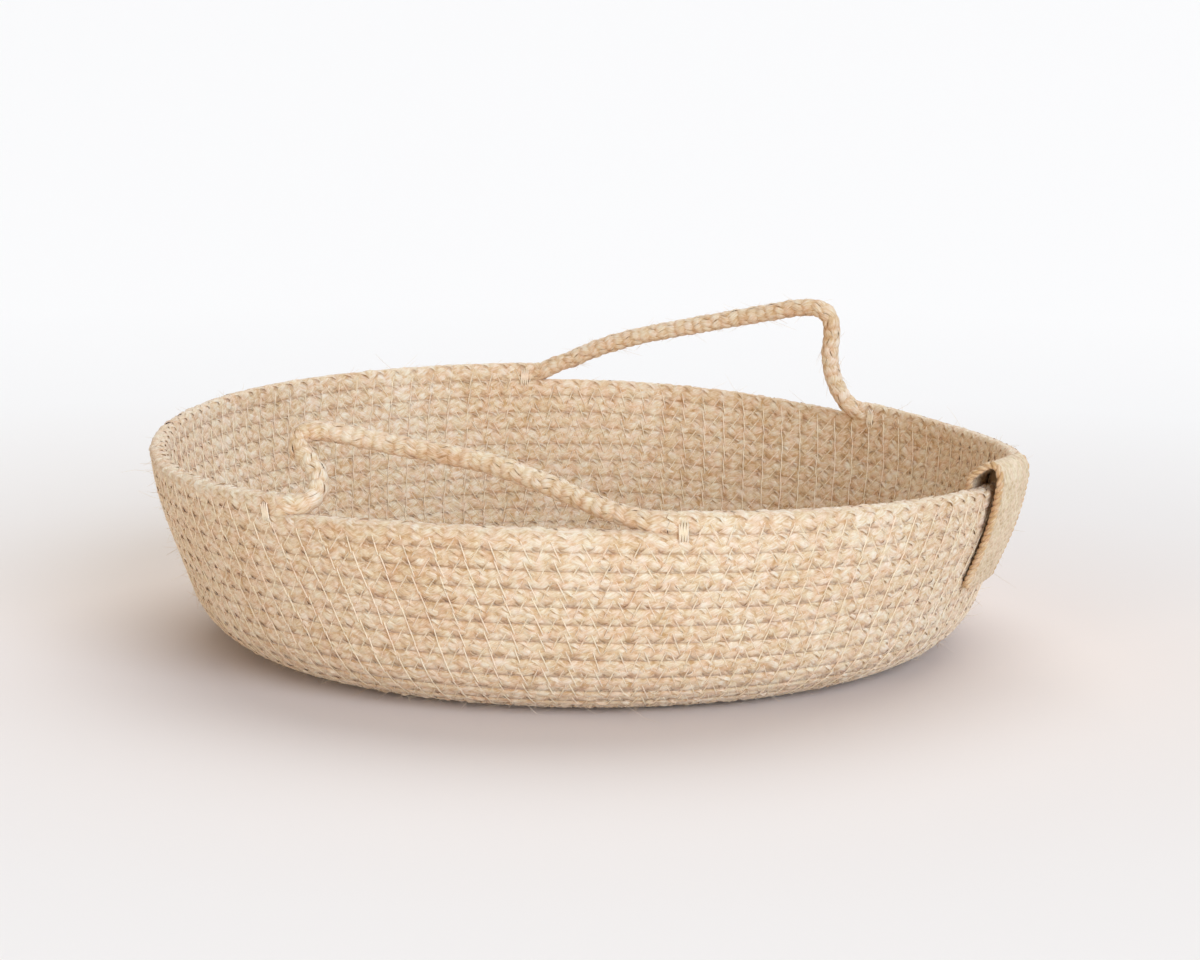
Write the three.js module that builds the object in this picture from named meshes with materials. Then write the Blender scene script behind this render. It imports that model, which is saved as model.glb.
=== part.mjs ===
// A shallow round basket of braided jute cord, coiled and sewn course to course.
// The cord starts at the middle of the base, winds out flat, turns up through a
// round heel and climbs the flared wall, which stands up a little at its lip. The
// top course is lifted clear twice to make the two carrying handles, is bar-tacked
// at each handle foot, and ends under a tape tag folded over the rim.
// Millimetres, +Z up, origin at the middle of the base on the surface it stands on.
// The handles stand about -Y (front) and +Y (rear), and the tag about +X.
import * as THREE from 'three';

const radians = THREE.MathUtils.degToRad;

// Cord and coil
const CORD_DIAMETER = 6;
const COURSE_GAP = 0.5;
const FLAT_CUT = 0.6;
const STEPS_PER_LOOP = 24;
const CORD_SIDES = 6;
const BUTT_GAP = 0.3;

// Basket
const RIM_DIAMETER = 295;
const HEIGHT = 68;
const HEEL_RADIUS = 30;
const WALL_FLARE = radians(19.3);
const LIP_RADIUS = 100;
const LIP_LENGTH = 22;
const CENTRE_HOLE_RADIUS = 1.5;

// Slow waves of the hand-held rim: how far, and at which bearing each one peaks
const RIM_TILT_HEIGHT = 3.1;
const RIM_TILT_AT = radians(182);
const RIM_SADDLE_HEIGHT = 3.7;
const RIM_SADDLE_AT = radians(125);
const RIM_RIPPLE_HEIGHT = 0.8;
const RIM_RIPPLE_AT = radians(0);

// Handles
const FRONT_HANDLE_AT = radians(272);
const REAR_HANDLE_AT = radians(88);
const FRONT_HALF_SPAN = radians(25);
const REAR_HALF_SPAN = radians(27.5);
const FRONT_HANDLE_RISE = 28.5;
const REAR_HANDLE_RISE = 38;
const FRONT_HANDLE_LEAN = radians(45);
const REAR_HANDLE_LEAN = radians(8);
const HANDLE_SIDES = 10;
const HANDLE_STEPS = 56;

// Bar tacks of sewing thread over the top course at each handle foot
const TACK_WIDTH = 3;
const TACK_THICKNESS = 0.6;
const TACK_OVERLAP = 1.5;
const TACK_SETBACK = 1.2;
const TACK_BEND_STEPS = 8;

// Tag of folded jute tape, loose at the fold and sewn close at its ends
const TAG_AT = radians(-6);
const TAG_WIDTH = 30;
const TAG_THICKNESS = 2.5;
const TAG_COURSES = 6;
const TAG_FOLD_SLACK = 0.9;
const TAG_BEND_STEPS = 12;
const SEAT_CLEARANCE = 0.3;

const JUTE = '#cdb18a';
const JUTE_SHADE = '#c4a67d';
const TAPE = '#d6bd92';
const THREAD = '#e8dcc4';
const JUTE_ROUGHNESS = 0.95;
const TAPE_ROUGHNESS = 0.9;
const THREAD_ROUGHNESS = 0.8;

// Sizes that follow from the above. A drawn cord is thinner than its course is wide.
const pitch = CORD_DIAMETER;
const cordRadius = (CORD_DIAMETER - COURSE_GAP) / 2;
const baseLevel = cordRadius - FLAT_CUT;
const heelRadius = HEEL_RADIUS - CORD_DIAMETER / 2;
const wallSlope = Math.PI / 2 - WALL_FLARE;
const rimSlope = wallSlope + LIP_LENGTH / LIP_RADIUS;
const heelLength = heelRadius * wallSlope;
const rimRadius = (RIM_DIAMETER - CORD_DIAMETER) / 2;
const rimLevel = HEIGHT - CORD_DIAMETER / 2;
const heelRise = heelRadius * (1 - Math.cos(wallSlope));
const lipRise = LIP_RADIUS * (Math.cos(wallSlope) - Math.cos(rimSlope));
const lipSpread = LIP_RADIUS * (Math.sin(rimSlope) - Math.sin(wallSlope));
const wallLength = (rimLevel - baseLevel - heelRise - lipRise) / Math.sin(wallSlope);
const wallSpread = wallLength * Math.cos(wallSlope);
const baseRadius = rimRadius - heelRadius * Math.sin(wallSlope) - wallSpread - lipSpread;

// The cord's place along the basket's outline grows by one pitch a turn, and the
// middle of the top course lies at the rim's mean height.
const lipStart = baseRadius + heelLength + wallLength;
const endReach = lipStart + LIP_LENGTH + pitch / 2;
const startReach = CENTRE_HOLE_RADIUS + cordRadius;
const totalTurns = Math.floor(((endReach - startReach) / pitch) * STEPS_PER_LOOP) / STEPS_PER_LOOP;

function rimWave(bearing) {
  const tilt = RIM_TILT_HEIGHT * Math.cos(bearing - RIM_TILT_AT);
  const saddle = RIM_SADDLE_HEIGHT * Math.cos(2 * (bearing - RIM_SADDLE_AT));
  const ripple = RIM_RIPPLE_HEIGHT * Math.cos(4 * (bearing - RIM_RIPPLE_AT));
  return tilt + saddle + ripple;
}

// Radius, height and slope of the outline at a distance along it from the middle
function outlineAt(reach) {
  const heelAngle = THREE.MathUtils.clamp((reach - baseRadius) / heelRadius, 0, wallSlope);
  const wallReach = THREE.MathUtils.clamp(reach - baseRadius - heelLength, 0, wallLength);
  const slope = heelAngle + Math.max(reach - lipStart, 0) / LIP_RADIUS;
  const heelSpread = heelRadius * Math.sin(heelAngle) + wallReach * Math.cos(wallSlope);
  const heelClimb = heelRadius * (1 - Math.cos(heelAngle)) + wallReach * Math.sin(wallSlope);
  return {
    radius: Math.min(reach, baseRadius) + heelSpread + LIP_RADIUS * (Math.sin(slope) - Math.sin(heelAngle)),
    level: baseLevel + heelClimb + LIP_RADIUS * (Math.cos(heelAngle) - Math.cos(slope)),
    slope,
  };
}

// Centre of the coiled cord after a number of turns, with the way up the outline
// and the way out of the basket. The coil winds clockwise seen from above.
function coilAt(turn) {
  const bearing = TAG_AT + 2 * Math.PI * (totalTurns - turn);
  const outline = outlineAt(endReach - pitch * (totalTurns - turn));
  const climb = outline.level - baseLevel;
  const level = baseLevel + climb * (1 + rimWave(bearing) / (rimLevel - baseLevel));
  const radial = new THREE.Vector3(Math.cos(bearing), Math.sin(bearing), 0);
  const vertical = new THREE.Vector3(0, 0, 1);
  const up = radial.clone().multiplyScalar(Math.cos(outline.slope));
  up.addScaledVector(vertical, Math.sin(outline.slope));
  const out = radial.clone().multiplyScalar(Math.sin(outline.slope));
  out.addScaledVector(vertical, -Math.cos(outline.slope));
  return { centre: radial.multiplyScalar(outline.radius).setZ(level), up, out };
}

// The coil is drawn with straight steps, counted so that the cord's end and the tag's
// middle lie half way along one of them.
function stepAtTurn(turn) {
  return (turn - totalTurns) * STEPS_PER_LOOP + 0.5;
}

function turnAtStep(step) {
  return totalTurns + (step - 0.5) / STEPS_PER_LOOP;
}

function cordAt(turn) {
  const step = Math.floor(stepAtTurn(turn));
  const before = coilAt(turnAtStep(step));
  const after = coilAt(turnAtStep(step + 1));
  const share = stepAtTurn(turn) - step;
  return {
    centre: before.centre.clone().lerp(after.centre, share),
    up: before.up.clone().lerp(after.up, share).normalize(),
    out: before.out.clone().lerp(after.out, share).normalize(),
    along: after.centre.clone().sub(before.centre).normalize(),
  };
}

function turnAtBearing(bearing) {
  return totalTurns - (bearing - TAG_AT) / (2 * Math.PI);
}

// A cord's section: corners towards its neighbours on the base, flats towards them on the wall
function cordSection(firstCorner) {
  const corners = [];
  for (let i = 0; i < CORD_SIDES; i += 1) {
    const angle = firstCorner + (2 * Math.PI * i) / CORD_SIDES;
    corners.push({ up: cordRadius * Math.cos(angle), out: cordRadius * Math.sin(angle) });
  }
  return corners;
}
const baseSection = cordSection(0);
const wallSection = cordSection(Math.PI / CORD_SIDES);

// One ring of a cord, cut flat where it meets the surface that the basket stands on
function cordRing(turn, section, endPlane) {
  const cord = cordAt(turn);
  return section.map((corner) => {
    const point = cord.centre.clone();
    point.addScaledVector(cord.up, corner.up).addScaledVector(cord.out, corner.out);
    point.z = Math.max(point.z, 0);
    if (endPlane) {
      const short = -endPlane.distanceToPoint(point) / endPlane.normal.dot(cord.along);
      point.addScaledVector(cord.along, short);
    }
    return point;
  });
}

function coilRings(fromTurn, toTurn, section, fromPlane, toPlane) {
  const rings = [cordRing(fromTurn, section, fromPlane)];
  const firstStep = Math.floor(stepAtTurn(fromTurn)) + 1;
  const lastStep = Math.ceil(stepAtTurn(toTurn)) - 1;
  for (let step = firstStep; step <= lastStep; step += 1) {
    rings.push(cordRing(turnAtStep(step), section));
  }
  rings.push(cordRing(toTurn, section, toPlane));
  return rings;
}

// Rings joined into one closed tube
function tubeFromRings(rings) {
  const sides = rings[0].length;
  const indices = [];
  for (let ring = 0; ring + 1 < rings.length; ring += 1) {
    for (let side = 0; side < sides; side += 1) {
      const a = ring * sides + side;
      const b = ring * sides + ((side + 1) % sides);
      indices.push(a, a + sides, b, b, a + sides, b + sides);
    }
  }
  const last = (rings.length - 1) * sides;
  for (let side = 1; side + 1 < sides; side += 1) {
    indices.push(0, side, side + 1, last, last + side + 1, last + side);
  }
  const geometry = new THREE.BufferGeometry().setFromPoints(rings.flat());
  geometry.setIndex(indices);
  geometry.computeVertexNormals();
  return geometry;
}

// Least distance between the points of a course and those of the next course
function leastGap(rings) {
  let least = Infinity;
  for (let i = 0; i + STEPS_PER_LOOP + 1 < rings.length; i += 1) {
    const next = rings.slice(i + STEPS_PER_LOOP - 1, i + STEPS_PER_LOOP + 2).flat();
    for (const point of rings[i]) {
      for (const other of next) {
        least = Math.min(least, point.distanceTo(other));
      }
    }
  }
  return least;
}

// An upside-down U with its round bend about the origin
function saddleShape(seatRadius, thickness, drop) {
  const shape = new THREE.Shape();
  shape.moveTo(-seatRadius - thickness, -drop);
  shape.lineTo(-seatRadius, -drop);
  shape.absarc(0, 0, seatRadius, Math.PI, 0, true);
  shape.lineTo(seatRadius, -drop);
  shape.lineTo(seatRadius + thickness, -drop);
  shape.absarc(0, 0, seatRadius + thickness, 0, Math.PI, false);
  return shape;
}

// A tape folded over the rim, which follows the courses that it covers on both sides and
// comes closer to them towards its sewn ends
function foldedTapeShape(seatRadius, slack, thickness, courses) {
  const top = cordAt(totalTurns);
  const beside = (course, side, outer) => {
    const cord = cordAt(totalTurns - course);
    const gap = seatRadius + slack * (1 - course / courses) + outer;
    const point = cord.centre.addScaledVector(cord.out, side * gap).sub(top.centre);
    return [point.dot(top.out), point.dot(top.up)];
  };
  const shape = new THREE.Shape();
  shape.moveTo(...beside(courses, 1, 0));
  for (let course = courses; course > 0; course -= 1) {
    shape.lineTo(...beside(course, 1, thickness));
  }
  shape.absarc(0, 0, seatRadius + slack + thickness, 0, Math.PI, false);
  for (let course = 1; course <= courses; course += 1) {
    shape.lineTo(...beside(course, -1, thickness));
  }
  for (let course = courses; course > 0; course -= 1) {
    shape.lineTo(...beside(course, -1, 0));
  }
  shape.absarc(0, 0, seatRadius + slack, Math.PI, 0, true);
  for (let course = 1; course < courses; course += 1) {
    shape.lineTo(...beside(course, 1, 0));
  }
  return shape;
}

function placeOnCord(mesh, cord, shift) {
  const along = new THREE.Vector3().crossVectors(cord.out, cord.up);
  mesh.setRotationFromMatrix(new THREE.Matrix4().makeBasis(cord.out, cord.up, along));
  mesh.position.copy(cord.centre).addScaledVector(along, shift);
}

const basket = new THREE.Group();

function addPiece(name, geometry, colour, roughness) {
  const material = new THREE.MeshStandardMaterial({ color: colour, roughness, metalness: 0 });
  const mesh = new THREE.Mesh(geometry, material);
  mesh.name = name;
  basket.add(mesh);
  return mesh;
}

// Feet of a handle, its swing axis between them and the planes that end the rim there
function handleFrame(middle, halfSpan, lean) {
  const startTurn = turnAtBearing(middle + halfSpan);
  const endTurn = turnAtBearing(middle - halfSpan);
  const start = cordAt(startTurn);
  const end = cordAt(endTurn);
  const axis = end.centre.clone().sub(start.centre);
  const span = axis.length();
  axis.normalize();
  const upright = new THREE.Vector3(0, 0, 1).addScaledVector(axis, -axis.z).normalize();
  const inward = new THREE.Vector3().crossVectors(axis, upright).normalize();
  const rise = upright.multiplyScalar(Math.cos(lean)).addScaledVector(inward, Math.sin(lean));
  const startPlane = new THREE.Plane().setFromNormalAndCoplanarPoint(axis, start.centre);
  const endPlane = new THREE.Plane().setFromNormalAndCoplanarPoint(axis, end.centre);
  return { halfSpan, startTurn, endTurn, start, axis, span, rise, startPlane, endPlane };
}

// The lifted cord runs out along the swing axis, climbs in a long slope from its first
// foot, turns over at the crown and drops steeply to its second foot. Points are shares
// of the span and of the rise.
const REAR_ROUTE = [
  [0, 0], [0.02, 0], [0.06, 0.095], [0.115, 0.18], [0.2, 0.34], [0.32, 0.505], [0.5, 0.695],
  [0.675, 0.87], [0.79, 0.98], [0.835, 1], [0.874, 0.95], [0.885, 0.79], [0.882, 0.585],
  [0.888, 0.38], [0.911, 0.19], [0.93, 0.085], [0.965, 0], [1, 0],
];
const FRONT_ROUTE = [
  [0, 0], [0.03, 0], [0.08, 0.035], [0.15, 0.115], [0.23, 0.255], [0.29, 0.36], [0.4, 0.545],
  [0.51, 0.685], [0.6, 0.755], [0.73, 0.845], [0.84, 0.935], [0.92, 0.99], [0.975, 1],
  [1.005, 0.94], [1.003, 0.8], [0.96, 0.6], [0.925, 0.42], [0.91, 0.24], [0.918, 0.095],
  [0.95, 0], [1, 0],
];

function handleGeometry(frame, route, rise) {
  const reach = frame.span - 2 * BUTT_GAP;
  const points = route.map(([along, up]) => {
    const point = frame.start.centre.clone().addScaledVector(frame.axis, BUTT_GAP + along * reach);
    return point.addScaledVector(frame.rise, up * rise);
  });
  const section = new THREE.Shape();
  section.absarc(0, 0, cordRadius, 0, 2 * Math.PI, false);
  return new THREE.ExtrudeGeometry(section, {
    extrudePath: new THREE.CatmullRomCurve3(points, false, 'centripetal'),
    steps: HANDLE_STEPS,
    curveSegments: HANDLE_SIDES / 2,
    bevelEnabled: false,
  });
}

const front = handleFrame(FRONT_HANDLE_AT, FRONT_HALF_SPAN, FRONT_HANDLE_LEAN);
const rear = handleFrame(REAR_HANDLE_AT, REAR_HALF_SPAN, REAR_HANDLE_LEAN);

// Base: the flat coil and its first course in the heel. Wall: the rest, up to the first handle.
const splitTurn = totalTurns - Math.round((endReach - baseRadius - pitch) / pitch);
const splitShare = BUTT_GAP / 2 / (2 * Math.PI * outlineAt(baseRadius + pitch).radius);
const baseRings = coilRings(0, splitTurn - splitShare, baseSection);
const wallRings = coilRings(splitTurn + splitShare, front.startTurn, wallSection, null, front.startPlane);
console.log(`base coil: least gap between courses ${leastGap(baseRings).toFixed(2)} mm`);
console.log(`wall coil: least gap between courses ${leastGap(wallRings).toFixed(2)} mm`);
addPiece('base_coil', tubeFromRings(baseRings), JUTE_SHADE, JUTE_ROUGHNESS);
addPiece('wall_coil', tubeFromRings(wallRings), JUTE, JUTE_ROUGHNESS);

// Top course between the handles and from the rear handle to the cord's end under the tag
const leftRings = coilRings(front.endTurn, rear.startTurn, wallSection, front.endPlane, rear.startPlane);
const endRings = coilRings(rear.endTurn, totalTurns, wallSection, rear.endPlane, null);
addPiece('rim_left', tubeFromRings(leftRings), JUTE, JUTE_ROUGHNESS);
addPiece('rim_end', tubeFromRings(endRings), JUTE, JUTE_ROUGHNESS);

addPiece('front_handle', handleGeometry(front, FRONT_ROUTE, FRONT_HANDLE_RISE), JUTE, JUTE_ROUGHNESS);
addPiece('rear_handle', handleGeometry(rear, REAR_ROUTE, REAR_HANDLE_RISE), JUTE, JUTE_ROUGHNESS);

// Each tack straddles the top course just outside a handle foot and grips the course below
function addTack(name, frame, footTurn, side) {
  const footRadius = cordAt(footTurn).centre.setZ(0).length();
  const setback = TACK_SETBACK + cordRadius * Math.tan(frame.halfSpan) + TACK_WIDTH / 2;
  const cord = cordAt(footTurn + (side * setback) / (2 * Math.PI * footRadius));
  const seat = cordRadius + SEAT_CLEARANCE;
  const shape = saddleShape(seat, TACK_THICKNESS, pitch + TACK_OVERLAP);
  const options = { depth: TACK_WIDTH, bevelEnabled: false, curveSegments: TACK_BEND_STEPS };
  const mesh = addPiece(name, new THREE.ExtrudeGeometry(shape, options), THREAD, THREAD_ROUGHNESS);
  placeOnCord(mesh, cord, -TACK_WIDTH / 2);
}
addTack('front_right_tack', front, front.startTurn, -1);
addTack('front_left_tack', front, front.endTurn, 1);
addTack('rear_left_tack', rear, rear.startTurn, -1);
addTack('rear_right_tack', rear, rear.endTurn, 1);

const tagSeat = cordRadius + SEAT_CLEARANCE;
const tagShape = foldedTapeShape(tagSeat, TAG_FOLD_SLACK, TAG_THICKNESS, TAG_COURSES);
const tagOptions = { depth: TAG_WIDTH, bevelEnabled: false, curveSegments: TAG_BEND_STEPS };
const tag = addPiece('tag', new THREE.ExtrudeGeometry(tagShape, tagOptions), TAPE, TAPE_ROUGHNESS);
placeOnCord(tag, cordAt(totalTurns), -TAG_WIDTH / 2);

export default basket;
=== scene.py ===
# %% [markdown]
# # A coiled basket of braided jute cord
#
# The basket is one long jute cord, wound flat for the base, up through a round heel and
# on up a flared wall. A zigzag of cream thread sews each course to the next. The top
# course is lifted clear twice to make two carrying handles, and a folded tape covers the
# place where the cord ends.
#
# The solids from the CAD step are plain tubes. They are loaded first as a fixed frame, in
# metres, and every piece made here is placed in that same frame.

# %% Load the frame
from math import cos, floor, pi, radians, sin

import bmesh
import bpy
import numpy as np
from mathutils import Matrix, Vector


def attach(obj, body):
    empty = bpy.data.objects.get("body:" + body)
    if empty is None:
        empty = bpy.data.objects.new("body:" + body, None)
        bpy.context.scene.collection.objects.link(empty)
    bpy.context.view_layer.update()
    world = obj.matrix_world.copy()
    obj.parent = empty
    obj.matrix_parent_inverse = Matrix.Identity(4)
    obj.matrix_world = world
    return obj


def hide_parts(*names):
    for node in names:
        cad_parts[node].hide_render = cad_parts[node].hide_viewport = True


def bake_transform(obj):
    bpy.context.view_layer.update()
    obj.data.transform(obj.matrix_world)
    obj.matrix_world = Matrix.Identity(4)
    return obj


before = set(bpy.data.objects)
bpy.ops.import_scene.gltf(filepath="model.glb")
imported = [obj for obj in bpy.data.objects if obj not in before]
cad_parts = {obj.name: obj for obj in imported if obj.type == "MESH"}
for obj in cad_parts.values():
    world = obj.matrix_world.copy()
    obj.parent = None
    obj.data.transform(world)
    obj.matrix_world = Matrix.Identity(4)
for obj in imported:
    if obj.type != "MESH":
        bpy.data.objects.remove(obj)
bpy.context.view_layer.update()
scene = bpy.context.scene
rng = np.random.default_rng(seed=20)
MM = 0.001
print("CAD nodes:", ", ".join(sorted(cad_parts)))

# %% [markdown]
# ## Camera
#
# The camera was fitted to the rim, wall and base outlines in the photograph: a long lens,
# about a metre away and nine degrees above the rim. It is aimed a little below and to the
# right of the rim's middle, which puts the basket where the photograph has it without any
# lens shift.

# %% Camera
CAMERA_AZIMUTH = radians(17.3)
CAMERA_ELEVATION = radians(9.09)
CAMERA_ROLL = radians(0.5)
CAMERA_DISTANCE = 1.025
SENSOR_WIDTH, LENS = 36, 90
RIM_MIDDLE = Vector((0, 0, 0.067))
AIM_RIGHT = 4.75 * MM
AIM_DOWN = 13.9 * MM

back = Vector((
    sin(CAMERA_AZIMUTH) * cos(CAMERA_ELEVATION),
    -cos(CAMERA_AZIMUTH) * cos(CAMERA_ELEVATION),
    sin(CAMERA_ELEVATION),
))
right = Vector((cos(CAMERA_AZIMUTH), sin(CAMERA_AZIMUTH), 0))
eye = RIM_MIDDLE + back * CAMERA_DISTANCE
aim = RIM_MIDDLE + right * AIM_RIGHT - back.cross(right) * AIM_DOWN
camera = bpy.data.objects.new("camera", bpy.data.cameras.new("camera"))
scene.collection.objects.link(camera)
camera.data.sensor_width = SENSOR_WIDTH
camera.data.lens = LENS
camera.location = eye
turned = (aim - eye).to_track_quat("-Z", "Y").to_matrix() @ Matrix.Rotation(CAMERA_ROLL, 3, "Z")
camera.rotation_euler = turned.to_euler()
scene.camera = camera
print("camera at", [round(x, 3) for x in eye])

# %% [markdown]
# ## The basket's outline
#
# Every course lies one cord further along the same outline: flat base, round heel, flared
# wall, and a lip that stands up a little steeper. The sizes are those of the solids, and the
# rest of the outline follows from them. The braid is a little fatter than the plain tube that
# stands for it, so the base sits slightly higher.

# %% Outline
PITCH = 6 * MM
WALL_SLOPE = radians(70.7)
HEEL_RADIUS = 27 * MM
LIP_RADIUS, LIP_LENGTH = 100 * MM, 22 * MM
RIM_RADIUS, RIM_LEVEL = 144.5 * MM, 65 * MM
SOLID_LEVEL, BASE_LEVEL = 2.15 * MM, 3.3 * MM
FIRST_REACH = 4.25 * MM
STEPS_PER_LOOP = 24
TAG_AT = -6
RIM_LENGTH = 2 * pi * RIM_RADIUS
RIM_SLOPE = WALL_SLOPE + LIP_LENGTH / LIP_RADIUS
HEEL_LENGTH = HEEL_RADIUS * WALL_SLOPE
RIM_CLIMB = RIM_LEVEL - SOLID_LEVEL
LIP_RISE = LIP_RADIUS * (cos(WALL_SLOPE) - cos(RIM_SLOPE))
LIP_SPREAD = LIP_RADIUS * (sin(RIM_SLOPE) - sin(WALL_SLOPE))
WALL_LENGTH = (RIM_CLIMB - LIP_RISE - HEEL_RADIUS * (1 - cos(WALL_SLOPE))) / sin(WALL_SLOPE)
WALL_SPREAD = WALL_LENGTH * cos(WALL_SLOPE)
BASE_RADIUS = RIM_RADIUS - LIP_SPREAD - HEEL_RADIUS * sin(WALL_SLOPE) - WALL_SPREAD
LIP_START = BASE_RADIUS + HEEL_LENGTH + WALL_LENGTH
END_REACH = LIP_START + LIP_LENGTH + PITCH / 2
TURNS = floor((END_REACH - FIRST_REACH) / PITCH * STEPS_PER_LOOP) / STEPS_PER_LOOP
print(f"{TURNS:.2f} turns, base {2 * BASE_RADIUS:.3f} m across")

# %% [markdown]
# ## The coil
#
# The courses could be stacked rings, but the real cord is one spiral. So one function says
# where the shell is after any number of turns, and any step up the outline or out from it.
# The cord, the seams, the tacks and the tape all ask it. The rim isn't level: it tilts, sags
# like a saddle and ripples a little, as a soft basket does.

# %% Points of the shell
TILT, TILT_AT = 3.1 * MM, radians(182)
SADDLE, SADDLE_AT = 3.7 * MM, radians(125)
RIPPLE = 0.8 * MM


def unit(vectors):
    return vectors / np.linalg.norm(vectors, axis=-1, keepdims=True)


def rim_wave(bearing):
    tilt = TILT * np.cos(bearing - TILT_AT)
    saddle = SADDLE * np.cos(2 * (bearing - SADDLE_AT))
    ripple = RIPPLE * np.cos(4 * bearing)
    return tilt + saddle + ripple


def shell(turn, up_by=0.0, out_by=0.0):
    """Points of the shell, with the way up its outline and the way out of the basket."""
    turn = np.asarray(turn, float)
    bearing = radians(TAG_AT) + 2 * pi * (TURNS - turn)
    reach = END_REACH - PITCH * (TURNS - turn) + up_by
    heel = np.clip((reach - BASE_RADIUS) / HEEL_RADIUS, 0, WALL_SLOPE)
    wall = np.clip(reach - BASE_RADIUS - HEEL_LENGTH, 0, WALL_LENGTH)
    slope = heel + np.maximum(reach - LIP_START, 0) / LIP_RADIUS
    radius = np.minimum(reach, BASE_RADIUS) + HEEL_RADIUS * np.sin(heel) + wall * cos(WALL_SLOPE)
    radius = radius + LIP_RADIUS * (np.sin(slope) - np.sin(heel))
    climb = HEEL_RADIUS * (1 - np.cos(heel)) + wall * sin(WALL_SLOPE)
    climb = climb + LIP_RADIUS * (np.cos(heel) - np.cos(slope))
    climb = climb * (RIM_LEVEL - BASE_LEVEL) / RIM_CLIMB * (1 + rim_wave(bearing) / RIM_CLIMB)
    radial = np.stack([np.cos(bearing), np.sin(bearing), 0 * bearing], axis=-1)
    rise = np.array([0.0, 0.0, 1.0])
    up = radial * np.cos(slope)[..., None] + rise * np.sin(slope)[..., None]
    out = radial * np.sin(slope)[..., None] - rise * np.cos(slope)[..., None]
    point = radial * radius[..., None] + rise * (BASE_LEVEL + climb)[..., None]
    return point + out * np.asarray(out_by)[..., None], up, out


def turn_at(bearing_degrees):
    """The turn at which the top course passes a bearing."""
    return TURNS - (bearing_degrees - TAG_AT) / 360


print(f"the rim starts {shell(TURNS)[0][2]:.3f} m up, at the tag")

# %% [markdown]
# ## Handle routes
#
# Each handle is the top course lifted off the wall between two feet. From its first foot
# the cord climbs in a long slope, turns over at a crown and drops steeply to its second
# foot. A simulated rope could hang so, but these loops are stiff and stand up by themselves.
# So the routes are the ones the solids follow, given as shares of the span between the feet
# and of the rise, and a smooth curve runs through them.

# %% Handle routes
FRONT_FEET = (297, 247)
REAR_FEET = (115.5, 60.5)
FRONT_RISE, FRONT_LEAN = 28.5 * MM, radians(45)
REAR_RISE, REAR_LEAN = 38 * MM, radians(8)
FRONT_ROUTE = [
    (0, 0), (0.03, 0), (0.08, 0.035), (0.15, 0.115), (0.23, 0.255), (0.29, 0.36), (0.4, 0.545),
    (0.51, 0.685), (0.6, 0.755), (0.73, 0.845), (0.84, 0.935), (0.92, 0.99), (0.975, 1),
    (1.005, 0.94), (1.003, 0.8), (0.96, 0.6), (0.925, 0.42), (0.91, 0.24), (0.918, 0.095),
    (0.95, 0), (1, 0),
]
REAR_ROUTE = [
    (0, 0), (0.02, 0), (0.06, 0.095), (0.115, 0.18), (0.2, 0.34), (0.32, 0.505), (0.5, 0.695),
    (0.675, 0.87), (0.79, 0.98), (0.835, 1), (0.874, 0.95), (0.885, 0.79), (0.882, 0.585),
    (0.888, 0.38), (0.911, 0.19), (0.93, 0.085), (0.965, 0), (1, 0),
]


def spline(points, per_piece=12):
    """A smooth curve through the points, with knots spaced by the root of their distance."""
    before, after = 2 * points[0] - points[1], 2 * points[-1] - points[-2]
    points = np.concatenate([[before], points, [after]])
    curve = []
    for a, b, c, d in zip(points, points[1:], points[2:], points[3:]):
        t1 = np.linalg.norm(b - a) ** 0.5
        t2 = t1 + np.linalg.norm(c - b) ** 0.5
        t3 = t2 + np.linalg.norm(d - c) ** 0.5
        for t in np.linspace(t1, t2, per_piece, endpoint=False):
            ab = a + (b - a) * t / t1
            bc = b + (c - b) * (t - t1) / (t2 - t1)
            cd = c + (d - c) * (t - t2) / (t3 - t2)
            abc = ab + (bc - ab) * t / t2
            bcd = bc + (cd - bc) * (t - t1) / (t3 - t1)
            curve.append(abc + (bcd - abc) * (t - t1) / (t2 - t1))
    return np.array(curve)


def handle_line(feet, route, rise, lean):
    (start, end), _, _ = shell([turn_at(feet[0]), turn_at(feet[1])])
    axis = unit(end - start)
    upright = unit(np.array([0, 0, 1]) - axis * axis[2])
    lifted = upright * cos(lean) + np.cross(axis, upright) * sin(lean)
    span = np.linalg.norm(end - start)
    points = [start + axis * share * span + lifted * high * rise for share, high in route]
    return spline(np.array(points))


front_line = handle_line(FRONT_FEET, FRONT_ROUTE, FRONT_RISE, FRONT_LEAN)
rear_line = handle_line(REAR_FEET, REAR_ROUTE, REAR_RISE, REAR_LEAN)
print(f"crowns {front_line[:, 2].max():.3f} and {rear_line[:, 2].max():.3f} m up")

# %% [markdown]
# ## The line of the cord
#
# The top course is laid out as one line, rim and handles together, and then smoothed along
# its length, because a cord as thick as this can't turn a sharp corner where it leaves the
# wall. At its other end the cord is tucked half a turn further into the middle of the base
# than the solid goes, which closes the hole there. Each line keeps its way up and its way
# out at every point, so that a section can be set square on it.

# %% Line of the cord
LEAD = 20 * MM
LEAD_TURNS = LEAD / RIM_LENGTH
PAST_END_TURNS = LEAD_TURNS / 10
TUCKED_TURNS = 0.5
COIL_POINTS, RIM_POINTS = 40000, 400
FINE_STEP = 0.5 * MM
SMOOTHING = 2.2 * MM


def rim_line(from_turn, to_turn):
    return shell(np.linspace(from_turn, to_turn, RIM_POINTS, endpoint=False))[0]


def lengths(points):
    """How far along a line each of its points is."""
    steps = np.linalg.norm(np.diff(points, axis=0), axis=1)
    return np.concatenate([[0.0], np.cumsum(steps)])


def evenly(points, step):
    at = lengths(points)
    even = np.linspace(0, at[-1], round(at[-1] / step) + 1)
    return np.stack([np.interp(even, at, points[:, i]) for i in range(3)], axis=1)


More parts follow.
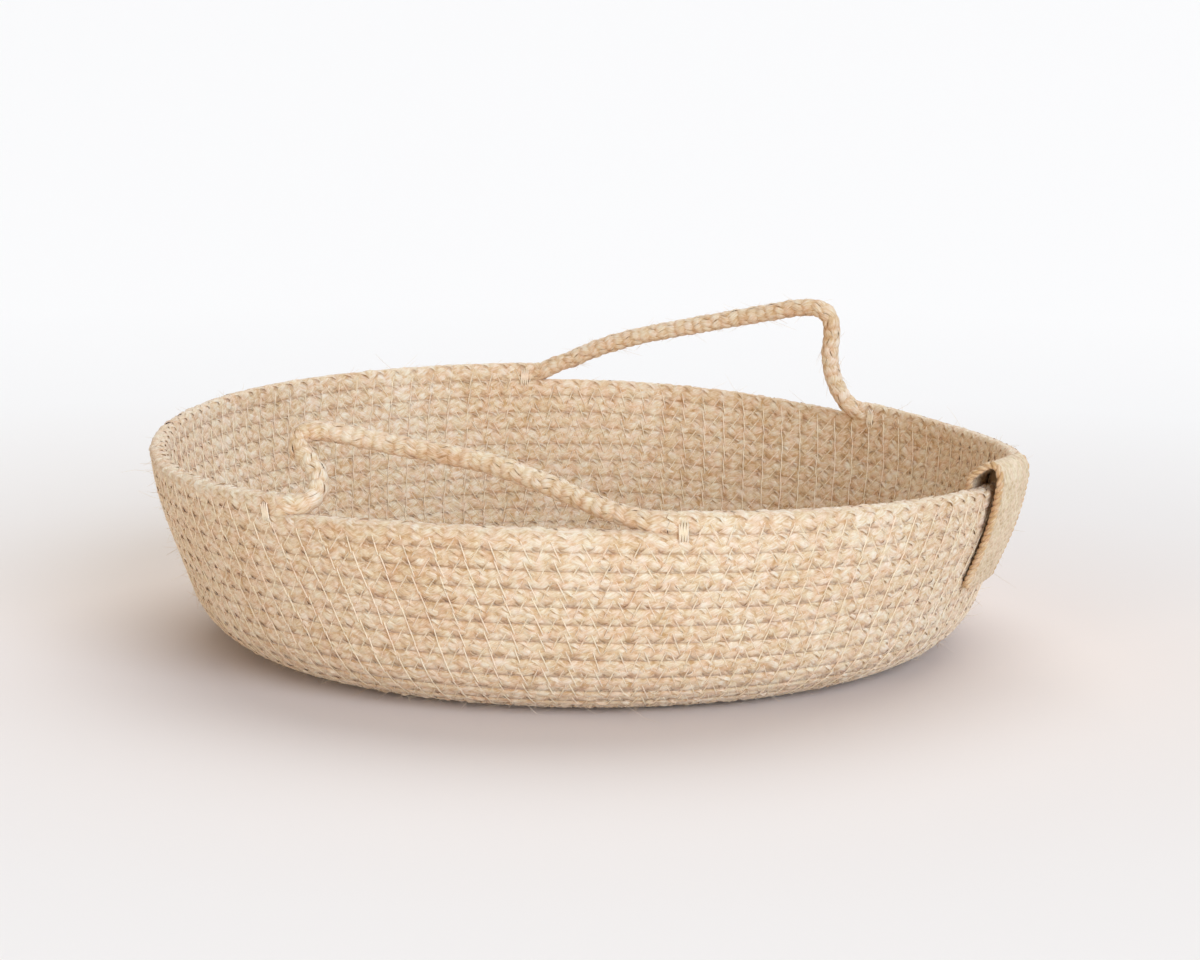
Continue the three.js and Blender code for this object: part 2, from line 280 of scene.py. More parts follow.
def smoothed(points):
    reach = round(3 * SMOOTHING / FINE_STEP)
    weights = np.exp(-0.5 * (np.arange(-reach, reach + 1) * FINE_STEP / SMOOTHING) ** 2)
    weights = weights / weights.sum()
    padded = np.pad(points, ((reach, reach), (0, 0)), mode="reflect", reflect_type="odd")
    return np.stack([np.convolve(padded[:, i], weights, "valid") for i in range(3)], axis=1)


def carried(points, up):
    """The way up and out all along a line, turned no more than the line itself turns."""
    along = unit(np.gradient(points, axis=0))
    ups = [up]
    for direction in along[1:]:
        ups.append(unit(ups[-1] - direction * (ups[-1] @ direction)))
    ups = np.array(ups)
    return ups, unit(np.cross(ups, along))


coil_turns = np.linspace(-TUCKED_TURNS, turn_at(FRONT_FEET[0]) - LEAD_TURNS, COIL_POINTS)
coil_centre, coil_up, coil_out = shell(coil_turns)
coil_at = lengths(coil_centre)
coil = {"at": coil_at, "centre": coil_centre, "up": coil_up, "out": coil_out, "turn": coil_turns}
top_centre = smoothed(evenly(np.concatenate([
    rim_line(coil_turns[-1], turn_at(FRONT_FEET[0])),
    front_line,
    rim_line(turn_at(FRONT_FEET[1]), turn_at(REAR_FEET[0])),
    rear_line,
    rim_line(turn_at(REAR_FEET[1]), TURNS + PAST_END_TURNS),
]), FINE_STEP))
top_up, top_out = carried(top_centre, coil_up[-1])
top_at = coil_at[-1] + lengths(top_centre)
bearings = np.unwrap(np.arctan2(top_centre[:, 1], top_centre[:, 0]))
top_turns = coil_turns[-1] - (bearings - bearings[0]) / (2 * pi)
top = {"at": top_at, "centre": top_centre, "up": top_up, "out": top_out, "turn": top_turns}
print(f"cord: {top_at[-1]:.2f} m in all, {top_at[-1] - top_at[0]:.2f} m in the top course")

# %% [markdown]
# ## Where the cord is tacked and where it ends
#
# The handle feet and the tag are given by their bearing round the rim. The cord is measured
# along its own length, so each bearing is looked up as the place where the top course passes
# nearest to the rim's line.

# %% Feet and end
def top_place(bearing_degrees):
    """Where along the top course the cord passes nearest to the rim's line at a bearing."""
    point = shell(turn_at(bearing_degrees))[0]
    return top_at[np.argmin(np.linalg.norm(top_centre - point, axis=1))]


front_start, front_end = (top_place(bearing) for bearing in FRONT_FEET)
rear_start, rear_end = (top_place(bearing) for bearing in REAR_FEET)
cord_end = top_place(TAG_AT)
print(f"handles leave at {front_start:.2f} and {rear_start:.2f} m, the cord ends at {cord_end:.2f} m")

# %% [markdown]
# ## Shader helpers
#
# A material is a small graph of nodes. Writing each node out takes five or six lines, so a
# helper makes one with its settings, values and links in a single call. Two more make a
# colour ramp and a plain material to start from.

# %% Shader helpers
SHEEN_ROUGHNESS = 0.6


def linked(tree, kind, at, settings=None, inputs=None, links=None):
    """A node with its settings, input values and incoming links."""
    node = tree.nodes.new(kind)
    node.location = at
    for name, value in (settings or {}).items():
        setattr(node, name, value)
    for name, value in (inputs or {}).items():
        node.inputs[name].default_value = value
    for name, source in (links or {}).items():
        tree.links.new(source, node.inputs[name])
    return node


def ramp(tree, at, source, stops):
    node = linked(tree, "ShaderNodeValToRGB", at, links={"Fac": source})
    while len(node.color_ramp.elements) < len(stops):
        node.color_ramp.elements.new(0.5)
    for element, (place, colour) in zip(node.color_ramp.elements, stops):
        element.position = place
        element.color = (*colour, 1)
    return node


def new_material(name, roughness, specular, sheen):
    material = bpy.data.materials.new(name)
    material.use_nodes = True
    shader = material.node_tree.nodes["Principled BSDF"]
    shader.inputs["Roughness"].default_value = roughness
    shader.inputs["Specular IOR Level"].default_value = specular
    shader.inputs["Sheen Weight"].default_value = sheen
    shader.inputs["Sheen Roughness"].default_value = SHEEN_ROUGHNESS
    return material, material.node_tree, shader


# %% [markdown]
# ## Jute
#
# Jute is a pale straw-coloured bast fibre. Close up it is streaky: fine lengthwise fibres, some bleached
# and some brown, with hardly any shine. The streaks must run along each strand, so the material reads the
# strand's own UV map, where U runs along it and V runs round it. A tone stored on each strand makes some
# of them paler than others. The same tone also carries painted light: a painted highlight on the braid's
# crests, and painted shade in its dips, on its core and on the tape's edges. Two noises on Object
# coordinates let the colour change as it does in natural fibre, one slowly over the basket and one from
# tuft to tuft. A third turns some tufts pinkish and others straw-green.

# %% Jute material
DRIFT_SCALE, TUFT_SCALE, HUE_SCALE = 38.0, 320.0, 280.0
DRIFT_WEIGHT, TUFT_WEIGHT, TONE_LEVEL = 0.3, 0.5, -0.4
STREAK_NOISE = {"Scale": 1.0, "Detail": 3.0, "Roughness": 0.6}
BUMP_STRENGTH = 0.45
HUE_STOPS = [(0.36, (1.0, 0.945, 0.94)), (0.5, (1.0, 1.0, 1.0)), (0.64, (0.98, 0.99, 0.95))]
JUTE_STOPS = [
    (0.2, (0.50, 0.28, 0.112)), (0.38, (0.635, 0.415, 0.23)),
    (0.52, (0.715, 0.52, 0.325)), (0.75, (0.805, 0.68, 0.515)),
]


def fibre_material(name, stops, streaks, bump_height):
    """Streaky fibre: colour stops from the darkest streak to the palest."""
    material, tree, shader = new_material(name, roughness=0.85, specular=0.35, sheen=0.2)
    uv = linked(tree, "ShaderNodeUVMap", (-1400, 0), {"uv_map": "strand"})
    fine = linked(tree, "ShaderNodeMapping", (-1200, 0), inputs={"Scale": streaks},
                  links={"Vector": uv.outputs["UV"]})
    fibre = linked(tree, "ShaderNodeTexNoise", (-1000, 0), inputs=STREAK_NOISE,
                   links={"Vector": fine.outputs["Vector"]})
    place = linked(tree, "ShaderNodeTexCoord", (-1400, -350))
    drift, tuft, hue = (
        linked(tree, "ShaderNodeTexNoise", (-1000, low), inputs={"Scale": scale, "Detail": 2.0},
               links={"Vector": place.outputs["Object"]})
        for low, scale in ((-300, DRIFT_SCALE), (-500, TUFT_SCALE), (200, HUE_SCALE))
    )
    tone = linked(tree, "ShaderNodeAttribute", (-1000, -700), {"attribute_name": "tone"})
    slow = linked(tree, "ShaderNodeMath", (-800, -300), {"operation": "MULTIPLY_ADD"},
                  {1: DRIFT_WEIGHT, 2: TONE_LEVEL}, {0: drift.outputs["Fac"]})
    patchy = linked(tree, "ShaderNodeMath", (-600, -400), {"operation": "MULTIPLY_ADD"},
                    {1: TUFT_WEIGHT}, {0: tuft.outputs["Fac"], 2: slow.outputs["Value"]})
    strand = linked(tree, "ShaderNodeMath", (-500, -600), {"operation": "ADD"},
                    links={0: patchy.outputs["Value"], 1: tone.outputs["Fac"]})
    both = linked(tree, "ShaderNodeMath", (-400, -200), {"operation": "ADD"},
                  links={0: fibre.outputs["Fac"], 1: strand.outputs["Value"]})
    colour = ramp(tree, (-200, 0), both.outputs["Value"], stops)
    tint = ramp(tree, (-200, 250), hue.outputs["Fac"], HUE_STOPS)
    tinted = linked(tree, "ShaderNodeVectorMath", (50, 100), {"operation": "MULTIPLY"},
                    links={0: colour.outputs["Color"], 1: tint.outputs["Color"]})
    bump = linked(tree, "ShaderNodeBump", (50, -300),
                  inputs={"Strength": BUMP_STRENGTH, "Distance": bump_height},
                  links={"Height": fibre.outputs["Fac"]})
    tree.links.new(tinted.outputs["Vector"], shader.inputs["Base Color"])
    tree.links.new(bump.outputs["Normal"], shader.inputs["Normal"])
    return material


jute = fibre_material("braided_jute", JUTE_STOPS, streaks=(500.0, 9.0, 1.0), bump_height=0.2 * MM)
print("made", jute.name)

# %% [markdown]
# ## Sections of strand and thread
#
# Strands, threads and loose fibres are all thin tubes along a line, some of them flattened.
# A bevelled curve could make one, but its section can't follow the strand over and under
# its neighbours. So a helper sets a section at every point of many lines at once. A section
# is given by the angles of its corners. The strands of the braid are domes with a flat
# underside, because nobody sees their lower half.

# %% Sections
DOME = pi * np.linspace(0, 1, 4)


def round_section(sides):
    return 2 * pi * np.arange(sides) / sides


def squared(angle, squareness):
    """How far a rounded square reaches at an angle, next to a circle that reaches 1."""
    total = np.abs(np.cos(angle)) ** squareness + np.abs(np.sin(angle)) ** squareness
    return total ** (-1 / squareness)


def ovals(centres, faces_out, half_width, half_height, section, squareness=2):
    """Sections along several lines at once, their crown towards faces_out."""
    along = unit(np.gradient(centres, axis=1))
    across = unit(np.cross(faces_out, along))
    over = np.cross(along, across)
    reach = squared(section, squareness)
    shape = centres.shape[:2]
    half_width = np.broadcast_to(half_width, shape)[..., None] * np.cos(section) * reach
    half_height = np.broadcast_to(half_height, shape)[..., None] * np.sin(section) * reach
    return (centres[:, :, None] + across[:, :, None] * half_width[..., None]
            + over[:, :, None] * half_height[..., None])


print(f"a strand's section has {len(DOME)} corners")

# %% [markdown]
# ## Tubes
#
# The sections are joined into closed tubes, all in one mesh. Each tube also gets its UV map
# and its tone, which the jute reads. The edges of a strand's underside and of its ends are
# marked sharp, or smooth shading would darken the dome along them.

# %% Tubes
SHARP_FROM = radians(85)


def joined(bundles):
    """Corners, loops, face sizes, UVs and tones of several bundles of tubes."""
    corners, walls, ends, wall_uv, tones = [], [], [], [], []
    first = 0
    for rings, along, tone in bundles:
        count, length, sides = rings.shape[:3]
        number = first + np.arange(count * length * sides).reshape(count, length, sides)
        beside = np.roll(number, -1, axis=2)
        wall = [number[:, :-1], beside[:, :-1], beside[:, 1:], number[:, 1:]]
        walls.append(np.stack(wall, -1).reshape(-1, 4))
        ends.extend([*number[:, 0, ::-1], *number[:, -1]])
        near = np.broadcast_to(along[:, :-1, None], (count, length - 1, sides))
        far = np.broadcast_to(along[:, 1:, None], (count, length - 1, sides))
        round_by = np.broadcast_to(np.arange(sides) / sides, near.shape)
        next_by = round_by + 1 / sides
        quad = [(near, round_by), (near, next_by), (far, next_by), (far, round_by)]
        quad = [np.stack(pair, -1) for pair in quad]
        wall_uv.append(np.stack(quad, -2).reshape(-1, 2))
        corners.append(rings.reshape(-1, 3))
        tones.append(np.repeat(np.broadcast_to(tone, (count, length)).ravel(), sides))
        first += number.size
    walls = np.concatenate(walls)
    loops = np.concatenate([walls.ravel(), *ends])
    sizes = np.concatenate([np.full(len(walls), 4), [len(end) for end in ends]])
    uv = np.zeros((len(loops), 2), np.float32)
    uv[:walls.size] = np.concatenate(wall_uv)
    return np.concatenate(corners), loops, sizes, uv, np.concatenate(tones)


def tube_object(name, bundles, material):
    """One object from bundles of tubes: rings, distance along each line, tone along each line."""
    corners, loops, sizes, uv, tones = joined(bundles)
    mesh = bpy.data.meshes.new(name)
    mesh.vertices.add(len(corners))
    mesh.vertices.foreach_set("co", corners.astype(np.float32).ravel())
    mesh.loops.add(len(loops))
    mesh.loops.foreach_set("vertex_index", loops.astype(np.int32))
    mesh.polygons.add(len(sizes))
    mesh.polygons.foreach_set("loop_start", (np.cumsum(sizes) - sizes).astype(np.int32))
    mesh.update(calc_edges=True)
    mesh.shade_smooth()
    mesh.set_sharp_from_angle(angle=SHARP_FROM)
    mesh.uv_layers.new(name="strand").data.foreach_set("uv", uv.ravel())
    tone = mesh.attributes.new("tone", "FLOAT", "POINT")
    tone.data.foreach_set("value", tones.astype(np.float32))
    mesh.materials.append(material)
    made = bpy.data.objects.new(name, mesh)
    scene.collection.objects.link(made)
    return made


def triangles(made):
    return sum(len(face.vertices) - 2 for face in made.data.polygons)


# %% [markdown]
# ## Where the seams run
#
# A sewing machine swings its needle from one course to the next and back, so each seam is a
# zigzag with a hole at every turn. The seam runs in one long line from the middle of the
# base to the rim, and only stops where the top course leaves the wall. Every turn has nearly
# the same number of stitches, so the steeper legs fall into line from course to course. In
# the photograph they lean one way left of the front and the other way right of it. The seam
# is laid out before the cord is made, because the tight thread presses the cord in wherever
# it crosses it. That gives the wall its quilted look.

# %% Seam layout
STITCHES_PER_TURN = 102.96
FULL_COUNT_RADIUS = 100 * MM
LEAN_SWAPS_AT = radians(292)
LEAN_PER_COURSE, MIDDLE_COURSE, LOWEST_COURSE = 0.26, 23, -5
LEAN_OF_LEG = 0.28
SEAM_HALF_WIDTH = 4.7 * MM
UNEVENNESS = 0.25 * MM
SEAM_POINTS = 40000
SEAM_STARTS = 0.3

seam_turns = np.linspace(0, TURNS, SEAM_POINTS)
seam_radius = np.linalg.norm(shell(seam_turns)[0][:, :2], axis=1)
fullness = np.minimum(1, seam_radius / FULL_COUNT_RADIUS)
stitch_count = np.cumsum(STITCHES_PER_TURN * fullness * seam_turns[1])
seam_lean = np.sin(radians(TAG_AT) + 2 * pi * (TURNS - seam_turns) - LEAN_SWAPS_AT)
courses_up = np.maximum(seam_turns - MIDDLE_COURSE, LOWEST_COURSE)
stitch_count = stitch_count + LEAN_PER_COURSE * courses_up * seam_lean
stitch_count = np.maximum.accumulate(stitch_count)
stitches = np.repeat(np.arange(1, int(stitch_count[-1])), 2).astype(float)
leg_lean = np.interp(stitches[1::2], stitch_count, seam_lean)
stitches[1::2] += 0.5 + np.clip(2 * LEAN_OF_LEG * leg_lean, -LEAN_OF_LEG, LEAN_OF_LEG)
hole_turns = np.interp(stitches, stitch_count, seam_turns)
hole_turns += rng.normal(0, UNEVENNESS, len(stitches)) / RIM_LENGTH
swing = np.where(np.arange(len(stitches)) % 2, 1, -1)
hole_sides = swing * SEAM_HALF_WIDTH + rng.normal(0, UNEVENNESS, len(stitches))
seam_runs = [
    (SEAM_STARTS, turn_at(FRONT_FEET[0]) - 1),
    (turn_at(FRONT_FEET[1]) - 1, turn_at(REAR_FEET[0]) - 1),
    (turn_at(REAR_FEET[1]) - 1, TURNS - 1),
]
seams = []
for start, end in seam_runs:
    inside = (hole_turns > start) & (hole_turns < end)
    seams.append((hole_turns[inside], hole_sides[inside]))
print("stitches:", sum(len(holes) for holes, _ in seams))

# %% [markdown]
# ## The shape of the braid
#
# Twelve flat strands make a round braid: six wind one way and six the other, and each goes
# over one and under one, like plain weave. A bump map could draw that on a plain tube, but
# the outline would stay smooth, so every strand is modelled. Where the cord is sewn down, its
# neighbours squeeze it to a rounded square, so that the courses close up with hardly a groove
# between them. Along the handles it is free to swell a little. No strand is quite even: each
# wanders, and grows thicker and thinner, on a slow wave of its own.

# %% Where the cord is free, uneven and pressed in
STRANDS = 12
STRAND_TONE_SPREAD = 0.03
WOBBLE_LENGTHS = (0.041, 0.017, 0.0093)
FREE_AFTER = 9 * MM
PRESS_DEPTH, PRESS_WIDTH, PRESS_LIMIT = 0.28 * MM, 1.2 * MM, 1.3
strand_tones = rng.normal(0, STRAND_TONE_SPREAD, (STRANDS, 1))
wobble_phase = rng.uniform(0, 2 * pi, (len(WOBBLE_LENGTHS), STRANDS, 1))


def wobble(at, shift):
    """A slow uneven wave between about -1 and 1, different on each strand."""
    pairs = zip(WOBBLE_LENGTHS, wobble_phase)
    return sum(np.sin(2 * pi * at / length + phase + shift) for length, phase in pairs) / 2


def follow(line, at):
    """The middle of the cord, its way up and its way out, at distances along a line."""
    found = []
    for key in ("centre", "up", "out"):
        columns = [np.interp(at, line["at"], line[key][:, i]) for i in range(3)]
        found.append(np.stack(columns, axis=1))
    return found[0], unit(found[1]), unit(found[2])


def sewn_down(at):
    """1 where the cord is sewn to its neighbours, 0 along the lifted handles."""
    free = 0
    for start, end in ((front_start, front_end), (rear_start, rear_end)):
        free = free + np.interp(at, [start, start + FREE_AFTER, end - FREE_AFTER, end], [0, 1, 1, 0])
    return 1 - free


def pressed(turn, up_by):
    """How far the thread of the seams above and below presses the cord in."""
    push = 0
    for holes, sides in seams:
        for courses_down, junction in ((0, PITCH / 2), (1, -PITCH / 2)):
            off = up_by - junction - np.interp(turn - courses_down, holes, sides, np.nan, np.nan)
            push = push + np.nan_to_num(np.exp(-0.5 * (off / PRESS_WIDTH) ** 2))
    return PRESS_DEPTH * np.minimum(push, PRESS_LIMIT)


print(f"{STRANDS} strands, free for {front_end - front_start - 2 * FREE_AFTER:.3f} m at the front")

# %% [markdown]
# ## The braided cord
#
# A strand's distance from the middle of the cord rises and falls once for every two strands that it
# crosses. Its crests are painted paler and its dips browner: a painted highlight on the crests and
# painted shade in the dips. Along the handles the strands stand further apart, with deeper dips between
# them; there the painted shade in the dips is stronger, and the whole cord is toned a little browner. A
# core fills the middle and stops light from showing through; it is toned darker, as painted shade in the
# gaps between the strands. The braid is laid along the cord's line as a whole and cut into stretches, so
# its strands run on from one piece into the next.

# %% Braid
BRAID_LAY = 44 * MM
BRAID_RADIUS = 2.3 * MM
BRAID_WAVE = 0.17 * MM
STRAND_HALF_WIDTH = 1.52 * MM
STRAND_HEIGHT = 0.56 * MM
SQUEEZE_UP, SQUEEZE_OUT, SQUARENESS = 1.2, 0.93, 5.0
FREE_SWELL, FREE_RELIEF, FREE_NARROWS = 0.06, 0.8, 0.1
FREE_TONE, FREE_DIP_SHADE_GAIN = -0.11, 1.2
# The crest tone is painted light: it makes crests paler (painted highlight) and dips browner (painted
# shade).
CREST_HIGHLIGHT_DIP_SHADE, CREST_WIDENS, CREST_THICKENS = 0.08, 0.05, 0.1
ANGLE_WOBBLE, REACH_WOBBLE = 0.1, 0.1 * MM
WIDTH_WOBBLE, HEIGHT_WOBBLE = 0.12, 0.2
FACE_SHARPNESS = 3
CORE_RADIUS, CORE_SIDES = 2.25 * MM, 8
CORE_UP, CORE_OUT, CORE_SQUARENESS = 3.17 * MM, 2.55 * MM, 10.0
# The core is toned darker than the strands: painted shade in the gaps where it shows between them.
CORE_PAINTED_SHADE = -0.07
FEWEST_SECTIONS = 4


def strand_bundle(line, at):
    """The twelve strands of a stretch of cord, squeezed where it is sewn down."""
    centre, up, out = follow(line, at)
    sewn = sewn_down(at)
    free = 1 - sewn
    strand = np.arange(STRANDS)[:, None]
    hand = np.where(strand % 2 == 0, 1, -1)
    place = strand // 2
    crossed = STRANDS * at / BRAID_LAY
    over = hand * np.cos(pi * crossed)
    angle = hand * 2 * pi * at / BRAID_LAY + place * 4 * pi / STRANDS + ANGLE_WOBBLE * wobble(at, 0)
    wave = BRAID_WAVE * (1 + FREE_RELIEF * free)
    reach = (BRAID_RADIUS + wave * over + REACH_WOBBLE * wobble(at, 2)) * (1 + FREE_SWELL * free)
    square = squared(angle, SQUARENESS)
    up_by = reach * np.sin(angle) * (1 + sewn * (SQUEEZE_UP * square - 1))
    out_by = reach * np.cos(angle) * (1 + sewn * (SQUEEZE_OUT * square - 1))
    turn = np.interp(at, line["at"], line["turn"])
    out_by = out_by - sewn * np.tanh(FACE_SHARPNESS * np.cos(angle)) * pressed(turn, up_by)
    flatness = sewn * (SQUARENESS - 2)
    lies_out = np.cos(angle) * np.abs(np.cos(angle)) ** flatness
    lies_up = np.sin(angle) * np.abs(np.sin(angle)) ** flatness
    outward = unit(out * lies_out[..., None] + up * lies_up[..., None])
    width = STRAND_HALF_WIDTH * (1 - FREE_NARROWS * free)
    width = width * (1 + CREST_WIDENS * over + WIDTH_WOBBLE * wobble(at, 4))
    height = STRAND_HEIGHT * (1 + CREST_THICKENS * over + HEIGHT_WOBBLE * wobble(at, 1))
    middles = centre + out * out_by[..., None] + up * up_by[..., None]
    strands = ovals(middles, outward, width, height, DOME)
    # Painted highlight on the crests and painted shade in the dips, stronger along the handles, where the
    # whole stretch is also toned browner.
    tone = strand_tones + CREST_HIGHLIGHT_DIP_SHADE * over * (1 + FREE_DIP_SHADE_GAIN * free) + FREE_TONE * free
    return strands, np.broadcast_to(at, strands.shape[:2]), tone


def core_bundle(line, at):
    """The core of a stretch of cord, with half as many sections as its strands."""
    at = at[::2] if len(at) % 2 else np.append(at[::2], at[-1])
    centre, _, out = follow(line, at)
    sewn = sewn_down(at)
    half_up = CORE_RADIUS + (CORE_UP - CORE_RADIUS) * sewn
    half_out = CORE_RADIUS + (CORE_OUT - CORE_RADIUS) * sewn
    section = round_section(CORE_SIDES)
    core = ovals(centre[None], out[None], half_up, half_out, section, CORE_SQUARENESS)
    return core, at[None], CORE_PAINTED_SHADE


def braided(name, line, start, end, step):
    at = np.linspace(start, end, max(FEWEST_SECTIONS, round((end - start) / step) + 1))
    made = tube_object(name, [strand_bundle(line, at), core_bundle(line, at)], jute)
    return made


# %% [markdown]
# ## Base and wall
#
# The cord's whole length is cut where the solids are cut: the flat base, the wall up to the
# first handle, the handles and the stretches of rim between them. The base and the wall are
# cut again into a few pieces each, to keep every mesh to a size that is easy to handle. The
# base is mostly out of sight, so its sections are further apart.

# %% Base and wall
WALL_STEP, BASE_STEP = 1.15 * MM, 1.8 * MM
SPLIT_TURN = TURNS - round((END_REACH - BASE_RADIUS - PITCH) / PITCH)
BASE_SPLIT = 0.72
TUCKED_END = 1 * MM
WALL_PIECES = 6
base_cuts = np.interp(SPLIT_TURN * np.array([0, BASE_SPLIT, 1]), coil_turns, coil_at)
base_cuts[0] = TUCKED_END
wall_cuts = np.linspace(base_cuts[-1], coil_at[-1], WALL_PIECES + 1)
for number, (start, end) in enumerate(zip(base_cuts, base_cuts[1:]), 1):
    piece = braided(f"base_braid_{number}", coil, start, end, BASE_STEP)
    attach(piece, "basket")
    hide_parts("base_coil")
    print(piece.name, triangles(piece))
for number, (start, end) in enumerate(zip(wall_cuts, wall_cuts[1:]), 1):
    piece = braided(f"wall_braid_{number}", coil, start, end, WALL_STEP)
    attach(piece, "basket")
    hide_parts("wall_coil")
    print(piece.name, triangles(piece))

# %% [markdown]
# ## Rim
#
# The top course is cut at the handle feet, and the stretches between them ride on the basket.
# The first is a short lead that runs from the end of the wall to the front handle.

# %% Rim
rims = [
    ("rim_lead_braid", top_at[0], front_start, "wall_coil"),
    ("rim_left_braid", front_end, rear_start, "rim_left"),
    ("rim_end_braid", rear_end, cord_end, "rim_end"),
]
for name, start, end, node in rims:
    piece = braided(name, top, start, end, WALL_STEP)
    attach(piece, "basket")
    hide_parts(node)
    print(piece.name, triangles(piece))

# %% [markdown]
# ## Handles
#
# Each lifted cord rides on its handle body. A hinge would break the cord at its tacks, where the real one
# only bends. So the first stretch at every foot is a piece of its own, attached to neither body.

# %% Handles
FOOT_LENGTH = 16 * MM


def foot_piece(name, start, end):
    """A short stretch of cord from the foot on the basket into the handle, attached to neither body."""
    piece = braided(name, top, start, end, WALL_STEP)
    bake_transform(piece)
    return piece


def handle(body, start, end):
    inner_start, inner_end = start + FOOT_LENGTH, end - FOOT_LENGTH
    first = foot_piece(f"{body}_first_foot", start, inner_start)
    second = foot_piece(f"{body}_second_foot", inner_end, end)
    piece = braided(f"{body}_braid", top, inner_start, inner_end, WALL_STEP)
    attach(piece, body)
    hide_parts(body)
    print(piece.name, f"{end - start:.3f} m of cord between its feet")


handle("front_handle", front_start, front_end)
handle("rear_handle", rear_start, rear_end)

# %% [markdown]
# ## Sewing thread
#
# The thread is a fine spun cream yarn with a slight twist. Its material is the same idea as
# the jute, paler and smoother, with the ply showing as slanted streaks.

# %% Thread material
THREAD_STOPS = [(0.2, (0.74, 0.56, 0.37)), (0.5, (0.83, 0.665, 0.46)), (0.8, (0.89, 0.75, 0.56))]
thread = fibre_material("spun_thread", THREAD_STOPS, streaks=(2500.0, 3.0, 1.0), bump_height=0.05 * MM)
print("made", thread.name)

# %% [markdown]
# ## Zigzag seams
#
# Each leg of the zigzag dives into the cord at both ends and lies over the two courses in
# between. The steep leg is drawn tight over the top of the strands and the longer one sinks
# in among them. Drawn as a pattern on the braid it would throw no shade, so the thread is a
# tube of its own. A lockstitch looks the same on both faces and shares its holes, so the
# outside seam and the inside one come from the same layout.

# %% Zigzag seams
THREAD_RADIUS, THREAD_SIDES = 0.24 * MM, 4
SUNK, CROWN, VALLEY = 1.8 * MM, 2.72 * MM, 2.66 * MM
LEG_SHARES = np.array([0.0, 0.2, 0.5, 0.8])
LEG_HEIGHTS = np.array([SUNK, CROWN, VALLEY, CROWN])
LONG_LEG_SINKS = 0.2 * MM


def zigzag(seam, face, shift=0.0, lift=0.0, tone=0.0):
    """Rings of the thread of a seam, on the outer (1) or inner (-1) face."""
    holes, sides = seam
    turns = (holes[:-1, None] + np.diff(holes)[:, None] * LEG_SHARES).ravel()
    up_by = (sides[:-1, None] + np.diff(sides)[:, None] * LEG_SHARES).ravel()
    long = np.diff(holes)[:, None] > 0.5 / STITCHES_PER_TURN
    out_by = (LEG_HEIGHTS + lift - LONG_LEG_SINKS * long).ravel()
    points, _, out = shell(turns, PITCH / 2 + shift + up_by, face * out_by)
    points[:, 2] = np.maximum(points[:, 2], THREAD_RADIUS)
    section = round_section(THREAD_SIDES)
    rings = ovals(points[None], face * out[None], THREAD_RADIUS, THREAD_RADIUS, section)
    return rings, lengths(points)[None], tone


for name, face in (("outside_seams", 1), ("inside_seams", -1)):
    piece = tube_object(name, [zigzag(seam, face) for seam in seams], thread)
    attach(piece, "basket")
    print(piece.name, triangles(piece))

# %% [markdown]
# ## Bar tacks
#
# At every handle foot the machine stays in place and sews the same zigzag very close, which
# makes a pale bar across the top two courses. So a tack is a zigzag with a tiny step, piled
# up a little higher than the seams.

# %% Bar tacks
TACK_STITCH = 0.42 * MM
TACK_WIDTH = 3.2 * MM
TACK_SETBACK = 4.0 * MM
TACK_REACH, TACK_UNEVENNESS = 4.0 * MM, 0.05 * MM
TACK_SHIFT, TACK_LIFT, TACK_TONE = 1.2 * MM, 0.4 * MM, 0.2
TURNS_PER_METRE = 1 / RIM_LENGTH
tacks = [
    ("front_right_tack", FRONT_FEET[0], -1), ("front_left_tack", FRONT_FEET[1], 1),
    ("rear_left_tack", REAR_FEET[0], -1), ("rear_right_tack", REAR_FEET[1], 1),
]
for node, bearing, side in tacks:
    middle = turn_at(bearing) - 1 + side * TACK_SETBACK * TURNS_PER_METRE
    holes = middle + np.arange(-TACK_WIDTH, TACK_WIDTH, 2 * TACK_STITCH) / 2 * TURNS_PER_METRE
    sides = np.where(np.arange(len(holes)) % 2, TACK_REACH, -TACK_REACH)
    bar = holes, sides + rng.normal(0, TACK_UNEVENNESS, len(holes))
    faces = [zigzag(bar, face, TACK_SHIFT, TACK_LIFT, TACK_TONE) for face in (1, -1)]
    piece = tube_object(f"{node}_thread", faces, thread)
    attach(piece, "basket")
    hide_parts(node)
    print(piece.name, triangles(piece))

# %% [markdown]
# ## The tape's fold
#
# A piece of plain-woven jute tape is folded over the rim where the cord ends, and sewn
# down through the wall at its lower ends. It stands a little proud at the fold, more so on
# the outside. A cloth simulation could fold it, but so short and stiff a tape keeps the shape
# that it was pressed to. So its path over the rim is written out, and a point of the flat
# tape is looked up on it.

# %% Tape path
TAPE_WIDTH = 30 * MM
TAPE_DROP = 37 * MM
TAPE_FOLD_RADIUS = 5.2 * MM
TAPE_END_GAP = 4.3 * MM
FOLD_LEAN, FOLD_SHIFT = 0.3, 0.7 * MM
TAPE_LENGTH = 2 * TAPE_DROP + pi * TAPE_FOLD_RADIUS
SLOPE_STEP = 0.1 * MM


def tape_path(along):
    """Height above the top course's middle and distance out from it, along the folded tape."""
    leg = np.minimum(np.minimum(along, TAPE_LENGTH - along), TAPE_DROP) / TAPE_DROP
    angle = np.clip((along - TAPE_DROP) / TAPE_FOLD_RADIUS, 0, pi)
    arch = np.sin(angle) + FOLD_LEAN * np.sin(2 * angle)
    up_by = -TAPE_DROP * (1 - leg) + TAPE_FOLD_RADIUS * arch
    gap = TAPE_END_GAP + (TAPE_FOLD_RADIUS - TAPE_END_GAP) * leg
    return up_by, gap * np.cos(angle) + FOLD_SHIFT * leg


